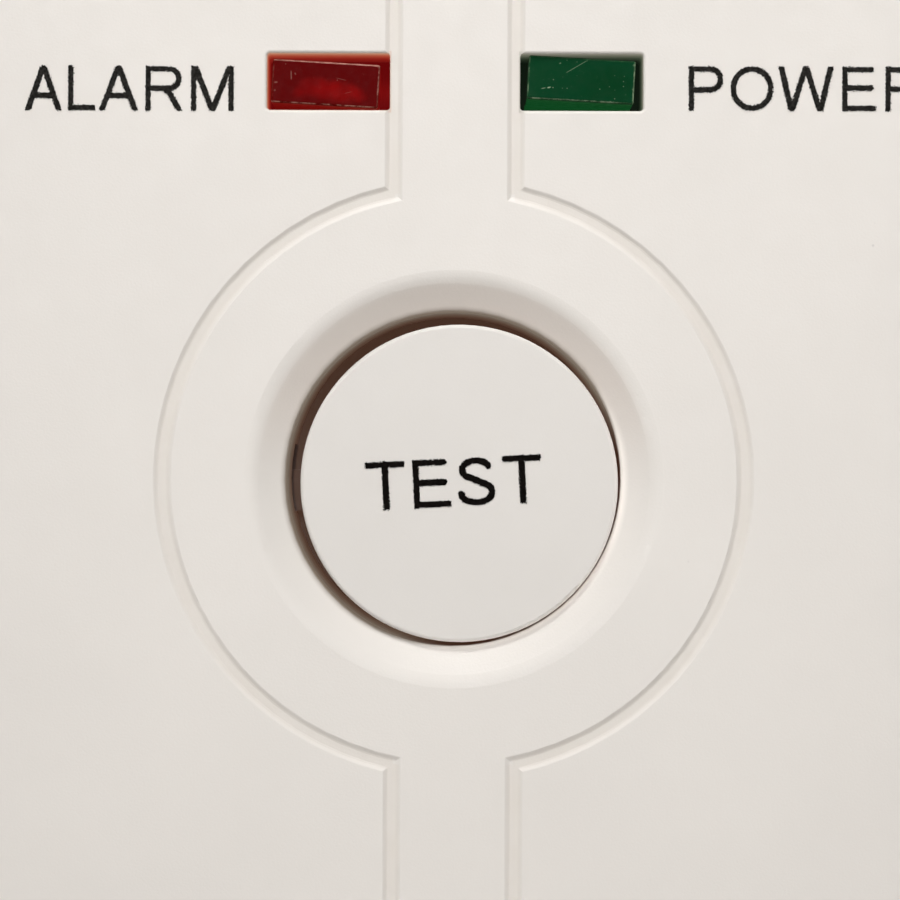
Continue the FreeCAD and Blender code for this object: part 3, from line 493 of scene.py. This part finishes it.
def scratch(m, x, z, start, end, width, strength):
    """Share of a fine straight scratch, in millimetres of the lamp's own face."""
    (ax, az), (bx, bz) = start, end
    length = math.hypot(bx - ax, bz - az)
    c, s = (bx - ax) / length, (bz - az) / length
    dx, dz = m.math("SUBTRACT", x, ax * MM), m.math("SUBTRACT", z, az * MM)
    along = m.math("ADD", m.times(dx, c), m.times(dz, s))
    across = m.math("SUBTRACT", m.times(dz, c), m.times(dx, s))
    line = m.fall(m.math("ABSOLUTE", across), 0.2 * width * MM, width * MM, strength)
    ends = m.times(m.ramp(along, 0.0, 0.12 * MM), m.fall(along, (length - 0.12) * MM, length * MM))
    return m.times(line, ends)


def core_painted_glow(m, x, z, edge, core, core_at, core_size):
    """Epoxy painted lighter over the chip inside it, in a cloudy patch: a painted glow for light scattered in
    the epoxy.
    """
    dx = m.math("DIVIDE", m.math("SUBTRACT", x, core_at[0] * MM), core_size[0] * MM)
    dz = m.math("DIVIDE", m.math("SUBTRACT", z, core_at[1] * MM), core_size[1] * MM)
    cloud = m.math("ADD", m.squares(dx, dz), m.ramp(m.noise(0.9, detail=2), 0.3, 0.7, -0.4, 0.4))
    return m.mix(m.ramp(cloud, -0.1, 1.5), core, edge)


def painted_light_behind(m, x, z, gap, glint, under):
    """Painted light behind a lamp's front, as emission: a painted glint on the right, and a glow on the
    underside.
    """
    half_w, half_h = LAMP_HALF
    low = m.times(m.fall(z, -half_h + 0.02 * MM, -half_h + 0.08 * MM),
                  m.fall(m.math("ABSOLUTE", x), half_w, half_w + 0.04 * MM))
    spot = m.times(m.fall(m.apart(z, 0.15 * MM), 0.0, 0.75 * MM), m.ramp(x, half_w - 0.1 * MM, half_w))
    return m.mix(low, m.mix(spot, gap, glint), under)


def worn_edges(m, x, z, worn):
    """Share of pale wear along the front's top, right, bottom and left edges.

    worn gives each edge's strength, and how steady it is along the edge.
    """
    half_w, half_h = LAMP_HALF
    patchy = m.ramp(m.noise(2.8, detail=5, rough=0.7), 0.40, 0.62)
    marks = 0.0
    for (strength, steady), value, at in zip(worn, (z, x, z, x), (half_h, half_w, -half_h, -half_w)):
        off = m.apart(value, at - math.copysign(0.045 * MM, at))
        line = m.fall(off, 0.012 * MM, 0.050 * MM, strength)
        line = m.times(line, m.ramp(patchy, 0.0, 1.0, steady, 1.0, smooth=False))
        marks = m.math("MAXIMUM", marks, line)
    return marks


def tiny_flecks(m, z, share):
    """Tiny pale flecks, stronger towards the lower edge."""
    half_h = LAMP_HALF[1]
    fleck = m.cells(4.5)
    dot = m.fall(fleck.outputs["Distance"], 0.06, 0.20, m.ramp(z, -half_h, 0.4 * half_h, 0.55, 0.15))
    return m.times(dot, m.ramp(m.split(fleck.outputs["Color"])[0], 1.0 - share, 1.02 - share))


def lamp_plastic(name, node, edge, core, core_at, core_size, haze, under, gap, glint, wear, worn, flecks,
                 scratches):
    """Coloured epoxy, scuffed nearly dull: a painted glow in its core, worn edges and scratches on its front,
    and painted light as emission behind its front.
    """
    m = Maker(name)
    x, _, z = m.split(m.moved(offset=tuple(middle(node)), turn=(0, -LAMP_LEAN[node], 0)))
    depth = below_face(m)
    front = m.fall(depth, 0.42, 0.50)
    near_front = m.fall(depth, 0.50, 0.62)

    body = core_painted_glow(m, x, z, edge, core, core_at, core_size)
    hazy = m.times(m.ramp(x, -2.6 * MM, -0.6 * MM, 1.0, 0.12),
                   m.ramp(m.noise(0.7, detail=3), 0.35, 0.7), haze)
    body = m.mix(hazy, body, wear)
    body = m.mix(m.ramp(m.noise(5.0, detail=6, rough=0.7), 0.58, 0.80, 0.0, 0.035), body, wear)
    # the lamp's sides behind its front get a darker copy of the gap's painted light as base colour: painted
    # shade
    body = m.mix(front, scaled(gap, 0.6), body)

    marks = m.times(worn_edges(m, x, z, worn), near_front)
    for row in scratches:
        marks = m.math("MAXIMUM", marks, m.times(scratch(m, x, z, *row), front))
    marks = m.math("MAXIMUM", marks, m.times(tiny_flecks(m, z, flecks), near_front))
    m.put(Base_Color=m.mix(marks, body, wear), IOR=1.5, Specular_IOR_Level=0.03)
    m.put(Roughness=m.ramp(m.noise(3.0, detail=5), 0.3, 0.7, 0.44, 0.60))
    # painted light as emission on the lamp's sides and underside; the front gets none
    painted_light = painted_light_behind(m, x, z, gap, glint, under)
    m.put(Emission_Color=m.mix(front, painted_light, (0, 0, 0)), Emission_Strength=1.0)
    m.put(Normal=m.bump(m.noise(4.0, detail=5, rough=0.65), 0.012))
    return m.material


def ink(name, deep, worn):
    """Printed ink, thinner in places."""
    m = Maker(name)
    m.put(Base_Color=m.mix(m.ramp(m.noise(8.0, detail=4), 0.35, 0.75), deep, worn))
    m.put(Roughness=m.ramp(m.noise(10.0), 0.3, 0.7, 0.6, 0.85), Specular_IOR_Level=0.03)
    m.put(Normal=m.bump(m.noise(12.0, detail=3), 0.012))
    return m.material


def metal(name, colour, roughness=0.3, streaks=None, tarnish=0.15):
    """Bare or plated metal with fine streaks and patchy dulling."""
    m = Maker(name)
    patch = m.ramp(m.noise(0.6, detail=6, rough=0.6), 0.45, 0.75, 0.0, tarnish)
    m.put(Base_Color=m.mix(patch, colour, scaled(colour, 0.55)), Metallic=1.0)
    if streaks is None:
        grain = m.noise(3.0, detail=4)
    else:
        grain = m.noise(1.0, detail=4, where=m.moved(scale=streaks))
    m.put(Roughness=m.ramp(grain, 0.3, 0.7, roughness - 0.08, roughness + 0.14))
    m.put(Normal=m.bump(grain, 0.004))
    return m.material


def board_laminate():
    """Green solder mask with copper tracks showing through as paler lines."""
    m = Maker("board_laminate")
    x, _, z = m.split()
    tracks = m.cells(0.28, feature="DISTANCE_TO_EDGE")
    line = m.fall(tracks.outputs["Distance"], 0.05, 0.09)
    threads = 9000.0                     # radians of glass weave to the metre
    weave = m.times(m.math("SINE", m.times(x, threads)), m.math("SINE", m.times(z, threads)))
    green = m.mix(m.ramp(weave, -1.0, 1.0), (0.010, 0.105, 0.035), (0.014, 0.130, 0.045))
    m.put(Base_Color=m.mix(line, green, (0.03, 0.23, 0.08)), Roughness=0.28)
    m.put(Coat_Weight=0.4, Coat_Roughness=0.1, Normal=m.bump(line, 0.02, under=m.bump(weave, 0.004)))
    return m.material


def banded(name, colour, band, low, high, roughness=0.35):
    """Sleeve with one plain stripe across it, from front to back."""
    m = Maker(name)
    along = m.split()[1]
    inside = m.times(m.ramp(along, low, low + 0.05 * MM), m.fall(along, high, high + 0.05 * MM))
    m.put(Base_Color=m.mix(inside, colour, band))
    m.put(Roughness=m.ramp(m.noise(0.8), 0.3, 0.7, roughness, roughness + 0.1))
    m.put(Coat_Weight=0.3, Coat_Roughness=0.15, Normal=m.bump(m.noise(0.6, detail=2), 0.02))
    return m.material


def cell_sleeve():
    """Printed film round each cell, bare steel at both ends."""
    m = Maker("cell_sleeve")
    x = m.math("ABSOLUTE", m.split()[0])
    ends = m.ramp(x, 25.2 * MM, 25.3 * MM)
    stripe = m.times(m.ramp(x, 12.0 * MM, 12.1 * MM), m.fall(x, 14.0 * MM, 14.1 * MM))
    film = m.mix(stripe, (0.02, 0.022, 0.026), (0.45, 0.34, 0.12))
    m.put(Base_Color=m.mix(ends, film, (0.60, 0.60, 0.59)), Metallic=m.ramp(ends, 0.0, 1.0, 0.0, 1.0))
    m.put(Roughness=m.ramp(m.noise(0.9), 0.3, 0.7, 0.22, 0.36), Normal=m.bump(m.noise(0.5, detail=2), 0.02))
    return m.material


def winding():
    """Enamelled wire laid round the core, painted dark in the creases between its turns and lighter on their
    crests: painted shade.
    """
    m = Maker("copper_wire")
    pitch = 0.3 * MM
    turns = m.math("SINE", m.times(m.split()[1], 2 * math.pi / pitch))
    # painted shade between the turns, lighter on their crests
    m.put(Base_Color=m.mix(m.ramp(turns, -1, 1), (0.16, 0.045, 0.012), (0.50, 0.19, 0.06)), Metallic=0.85)
    m.put(Roughness=0.3, Normal=m.bump(turns, 0.08))
    return m.material


def lamps():
    """The two lamps: red with a faint painted glow in its core, green and plainer; both scratched, with
    painted light behind their fronts.

    Scratches are start, end, width and strength, in millimetres from the lamp's middle.
    """
    red = lamp_plastic(
        "red_lamp", "alarm_lamp", edge=(0.096, 0.0004, 0.0007),
        core=(0.218, 0.0012, 0.0014), core_at=(0.25, -0.32), core_size=(1.7, 0.55), haze=0.004,
        under=(0.125, 0.0028, 0.0024), gap=(0.115, 0.0022, 0.0026), glint=(0.155, 0.003, 0.003),
        wear=(0.52, 0.27, 0.22), worn=((0.95, 0.45), (0.65, 0.15), (0.60, 0.0), (0.12, 0.0)), flecks=0.05,
        scratches=[((-1.66, 0.55), (-1.62, 0.05), 0.045, 0.22),
                   ((-1.50, 0.45), (-1.40, 0.30), 0.05, 0.28),
                   ((-2.48, -0.10), (-2.22, -0.06), 0.06, 0.25),
                   ((-2.45, -0.50), (-2.30, -0.42), 0.06, 0.30),
                   ((0.45, 0.30), (1.0, 0.20), 0.025, 0.12),
                   ((0.9, -0.42), (1.3, -0.30), 0.02, 0.10)])
    green = lamp_plastic(
        "green_lamp", "power_lamp", edge=(0.0008, 0.042, 0.0132),
        core=(0.0006, 0.038, 0.0105), core_at=(1.1, -0.2), core_size=(1.6, 0.9), haze=0.010,
        under=(0.0045, 0.056, 0.013), gap=(0.0045, 0.0085, 0.0045), glint=(0.0045, 0.0085, 0.0045),
        wear=(0.34, 0.45, 0.29), worn=((0.10, 0.3), (0.70, 0.25), (0.55, 0.1), (0.30, 0.1)), flecks=0.30,
        scratches=[((-0.76, 0.27), (0.24, 0.93), 0.028, 0.26),
                   ((0.16, 0.90), (0.28, 0.93), 0.05, 0.55),
                   ((-1.90, -0.54), (-1.62, -0.46), 0.030, 0.45),
                   ((-1.62, -0.48), (-1.38, -0.42), 0.042, 0.95),
                   ((-1.10, 0.68), (-0.98, 0.76), 0.045, 0.8),
                   ((-0.72, 0.83), (-0.66, 0.83), 0.06, 0.6),
                   ((2.38, 0.86), (2.48, 0.80), 0.08, 1.0),
                   ((-2.50, 0.50), (-2.46, 0.44), 0.08, 0.95),
                   ((2.10, -0.56), (2.16, -0.62), 0.06, 0.6),
                   ((1.35, -0.96), (1.5, -0.96), 0.05, 0.9)])
    return {"red_lamp": red, "green_lamp": green}


def make_materials():
    made = {
        # the cover's marks paint shade in the groove, dish, hole and lamp windows, and paint light as
        # emission
        "cover_plastic": plastic("cover_plastic", WHITE, 0.46, specks=0.5, marks=(
            groove_painted_shade, dish_painted_shade, lower_lip_painted_light, hole_wall_painted_shade_and_light, red_window_painted_light, green_window_painted_light)),
        "housing_plastic": plastic("housing_plastic", WHITE, 0.48, specks=0.4),
        "plate_plastic": plastic("plate_plastic", scaled(WHITE, 0.97), 0.5),
        "door_plastic": plastic("door_plastic", WHITE, 0.48),
        # the button's marks paint light as emission on its rim, and shade on its flange and keyways
        "button_plastic": plastic("button_plastic", BUTTON_WHITE, 0.40, grain=0.003, specks=0.4, marks=(
            cap_rim_painted_light, collar_floor_painted_shade_and_light)),
        "label_film": plastic("label_film", (0.55, 0.56, 0.57), 0.3, grain=0.001),
        "black_plastic": plastic("black_plastic", (0.018, 0.018, 0.019), 0.5),
        "sensor_plastic": plastic("sensor_plastic", (0.74, 0.74, 0.72), 0.5),
        "chip_epoxy": plastic("chip_epoxy", (0.014, 0.014, 0.015), 0.55, grain=0.012),
        "chip_ceramic": plastic("chip_ceramic", (0.20, 0.15, 0.10), 0.5),
        "ferrite": plastic("ferrite", (0.035, 0.035, 0.038), 0.6, grain=0.015),
        "spring_steel": metal("spring_steel", (0.62, 0.62, 0.63), 0.25),
        "tinned_steel": metal("tinned_steel", (0.72, 0.72, 0.71), 0.35),
        "solder": metal("solder", (0.74, 0.74, 0.75), 0.22),
        "sensor_steel": metal("sensor_steel", (0.60, 0.60, 0.60), 0.3),
        "sounder_brass": metal("sounder_brass", (0.72, 0.52, 0.22), 0.32),
        "contact_nickel": metal("contact_nickel", (0.66, 0.63, 0.58), 0.28, streaks=(1, 1, 12)),
        "screw_steel": metal("screw_steel", (0.50, 0.50, 0.49), 0.33, tarnish=0.4),
        "board_laminate": board_laminate(),
        "copper_wire": winding(),
        "cell_sleeve": cell_sleeve(),
        "capacitor_sleeve": banded("capacitor_sleeve", (0.012, 0.018, 0.05), (0.55, 0.56, 0.58),
                                   -33.0 * MM, -31.0 * MM),
    }
    made.update(lamps())
    return made


SLOTS = {row["node"]: row["material_slot"] for row in frame["record"]["subparts"]}


def dress_nodes(made):
    """Gives every CAD node the material of its slot."""
    for name, obj in nodes.items():
        obj.data.materials.clear()
        obj.data.materials.append(made[SLOTS[name]])


def make_return_spring():
    """The button's spring, which shortens between the circuit board and the cap as the button goes in, copied
    into its own object in place of the hidden CAD node; nothing here makes the copy shorten.
    """
    stiff = nodes["button_spring"]
    spring = bpy.data.objects.new("return_spring", stiff.data.copy())
    bpy.context.scene.collection.objects.link(spring)
    spring.matrix_world = stiff.matrix_world.copy()
    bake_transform(spring)
    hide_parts("button_spring")


# ---------------------------------------------------------------- lettering
def arc(cx, cy, rx, ry, start, end, steps=16):
    return [(cx + rx * math.cos(math.radians(start + (end - start) * i / steps)),
             cy + ry * math.sin(math.radians(start + (end - start) * i / steps))) for i in range(steps + 1)]


def bowl(x0, x1, y0, y1):
    """Right-hand bowl of a P or an R: out along the top, round, and back along the bottom."""
    r = (y1 - y0) / 2
    return [(x0, y1)] + arc(x1 - r, y0 + r, r, r, 90, -90) + [(x0, y0)]


def strokes(letter, w, h, t):
    """Centre lines of one plain capital that fills a box w wide and h high with strokes t thick.

    Lines run past the box where their ends are cut square by it.
    """
    far, half = 2 * t, t / 2
    stem = [(half, h + far), (half, -far)]
    if letter == "A":
        foot, top = 0.53 * t, 0.5 * w + 0.02 * t
        lean = (top - foot) / h * far
        return [[(foot - lean, -far), (top + lean, h + far)],
                [(w - foot + lean, -far), (w - top - lean, h + far)],
                [(0.27 * w, 0.335 * h), (0.73 * w, 0.335 * h)]]
    if letter == "L":
        return [stem, [(half, half), (w + far, half)]]
    if letter == "P":
        return [stem, bowl(half, w - half, 0.47 * h, h - half)]
    if letter == "R":
        low = 0.50 * h
        leg = [(0.50 * w, low), (0.64 * w, 0.40 * h), (w - 0.55 * t + 0.22 * far, -far * 0.5)]
        return [stem, bowl(half, w - half - 0.04 * w, low, h - half), leg]
    if letter == "M":
        slope = (0.5 * w - 0.75 * t) / h
        return [stem, [(w - half, h + far), (w - half, -far)],
                [(0.75 * t - slope * far, h + far), (0.5 * w, 0)],
                [(w - 0.75 * t + slope * far, h + far), (0.5 * w, 0)]]
    if letter == "O":
        return [arc(0.5 * w, 0.5 * h, 0.5 * w - half, 0.5 * h - half, 0, 360, 36)]
    if letter == "W":
        lean, foot = 0.17 * far, -far * 0.2
        return [[(0.5 * t - lean, h + far), (0.25 * w + 0.1 * t, foot)],
                [(0.25 * w - 0.1 * t, foot), (0.5 * w, h)],
                [(0.5 * w, h), (0.75 * w + 0.1 * t, foot)],
                [(0.75 * w - 0.1 * t, foot), (w - 0.5 * t + lean, h + far)]]
    if letter == "E":
        return [stem, [(half, h - half), (0.93 * w - half, h - half)],
                [(half, half), (w + far, half)], [(half, 0.52 * h), (0.93 * w - half, 0.52 * h)]]
    if letter == "T":
        return [[(-far, h - half), (w + far, h - half)], [(0.5 * w, h), (0.5 * w, -far)]]
    if letter == "S":
        top = arc(0.5 * w, 0.745 * h, 0.44 * w - half, 0.255 * h - half, 20, 255, 18)
        low = arc(0.5 * w, 0.275 * h, 0.5 * w - half, 0.275 * h - half, 72, -174, 18)
        return [top + low]
    raise ValueError(letter)


def segment_distance(px, py, a, b):
    ax, ay = a
    dx, dy = b[0] - ax, b[1] - ay
    t = np.clip(((px - ax) * dx + (py - ay) * dy) / max(dx * dx + dy * dy, 1e-18), 0, 1)
    return np.hypot(px - ax - t * dx, py - ay - t * dy)


def roughness_at(x, y, seed):
    """Coarse and fine waves of the ink's ragged edge, about -1 to 1."""
    coarse = noise.noise(Vector((x / RAG, y / RAG, seed)))
    fine = noise.noise(Vector((x * 2.3 / RAG, y * 2.3 / RAG, seed + 9)))
    return coarse * 0.6 + fine * 0.4


def word_field(letters, height, stroke, ragged, seed):
    """Signed distance to a word's ragged outline on a grid; letters are (capital, left, right)."""
    margin = 5 * INK_PITCH
    left = min(x0 for _, x0, _ in letters) - margin
    right = max(x1 for _, _, x1 in letters) + margin
    xs = np.arange(left, right, INK_PITCH)
    ys = np.arange(-margin, height + margin, INK_PITCH)
    px, py = np.meshgrid(xs, ys, indexing="ij")
    field = np.full(px.shape, 1.0)
    for letter, x0, x1 in letters:
        one = np.full(px.shape, 1.0)
        for line in strokes(letter, x1 - x0, height, stroke):
            points = [(x0 + x, y) for x, y in line]
            for a, b in zip(points, points[1:]):
                one = np.minimum(one, segment_distance(px, py, a, b) - stroke / 2)
        box = np.maximum(np.maximum(x0 - px, px - x1), np.maximum(-py, py - height))
        blend = np.clip(END_ROUND - np.abs(one - box), 0, None) ** 2 / (4 * END_ROUND)
        field = np.minimum(field, np.maximum(one, box) + blend)
    rough = np.array([[roughness_at(x, y, seed) for y in ys] for x in xs])
    return xs, ys, field + rough * ragged


def outline_faces(xs, ys, field):
    """Points and faces over the part of the grid where the field is negative (marching squares)."""
    points, made = [], {}

    def point(key, x, y):
        if key not in made:
            made[key] = len(points)
            points.append((x, y))
        return made[key]

    def corner(c):
        return point(c, xs[c[0]], ys[c[1]])

    def crossing(c, d):
        """Where the outline crosses the side of a square between two of its corners."""
        c, d = sorted((c, d))
        t = field[c] / (field[c] - field[d])
        return point((c, d), xs[c[0]] + (xs[d[0]] - xs[c[0]]) * t, ys[c[1]] + (ys[d[1]] - ys[c[1]]) * t)

    faces = []
    for i in range(len(xs) - 1):
        for j in range(len(ys) - 1):
            corners = [(i, j), (i + 1, j), (i + 1, j + 1), (i, j + 1)]
            inside = [field[c] < 0 for c in corners]
            ring = []
            for n in range(4):
                after = (n + 1) % 4
                if inside[n]:
                    ring.append(corner(corners[n]))
                if inside[n] != inside[after]:
                    ring.append(crossing(corners[n], corners[after]))
            if ring:
                faces.append(ring)
    return points, faces


def ink_mesh(name, xs, ys, field):
    """Closed thin solid of ink that reaches a little into the plastic."""
    points, front = outline_faces(xs, ys, field)
    n = len(points)
    verts = [(x, y, z) for y in (-INK_T, 0.6 * INK_T) for x, z in points]
    back = [[v + n for v in reversed(ring)] for ring in front]
    edges = [edge for ring in front for edge in zip(ring, ring[1:] + ring[:1])]
    shared = set(edges)
    walls = [(b, a, a + n, b + n) for a, b in edges if (b, a) not in shared]
    mesh = bpy.data.meshes.new(name)
    mesh.from_pydata(verts, [], front + back + walls)
    return mesh


def word(name, letters, height, stroke, ragged, place, turn, body, material, seed):
    mesh = ink_mesh(name, *word_field(letters, height, stroke, ragged, seed))
    mesh.transform(Matrix.Translation(place) @ Matrix.Rotation(-turn, 4, "Y"))
    mesh.materials.append(material)
    piece = bpy.data.objects.new(name, mesh)
    bpy.context.scene.collection.objects.link(piece)
    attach(piece, body)


def spaced(text, *edges):
    """Pairs each capital with its left and right edges, given in millimetres."""
    return [(c, a * MM, b * MM) for c, (a, b) in zip(text, edges)]


def make_lettering():
    grey = ink("face_ink", (0.009, 0.0085, 0.0075), (0.036, 0.033, 0.030))
    black = ink("button_ink", (0.0025, 0.0018, 0.0014), (0.008, 0.006, 0.005))
    alarm = spaced("ALARM", (-20.31, -18.53), (-18.27, -16.97), (-16.82, -14.93), (-14.62, -12.82),
                   (-12.47, -10.42))
    power = spaced("POWER", (11.00, 12.66), (12.98, 15.03), (15.20, 17.90), (18.24, 19.86), (20.28, 22.05))
    test = spaced("TEST", (0.0, 1.87), (2.22, 3.98), (4.32, 6.12), (6.48, 8.32))
    face, cap = FACE_Y - INK_LIFT, CAP_Y - INK_LIFT
    for name, letters, low, seed in (("alarm", alarm, ALARM_Z, 3), ("power", power, POWER_Z, 17)):
        word(name + "_lettering", letters, FACE_HEIGHT, FACE_STROKE, FACE_RAGGED, Vector((0, face, low)), 0.0,
             "alarm_body", grey, seed)
    word("test_lettering", test, TEST_HEIGHT, TEST_STROKE, TEST_RAGGED,
         Vector((TEST_CORNER.x, cap, TEST_CORNER.z)), CAP_TURN, "test_button", black, 31)


# ---------------------------------------------------------------- build
bpy.context.scene.view_settings.view_transform = "Standard"
make_camera()
make_lights()
make_world()
make_floor()
dress_nodes(make_materials())
make_return_spring()
make_lettering()
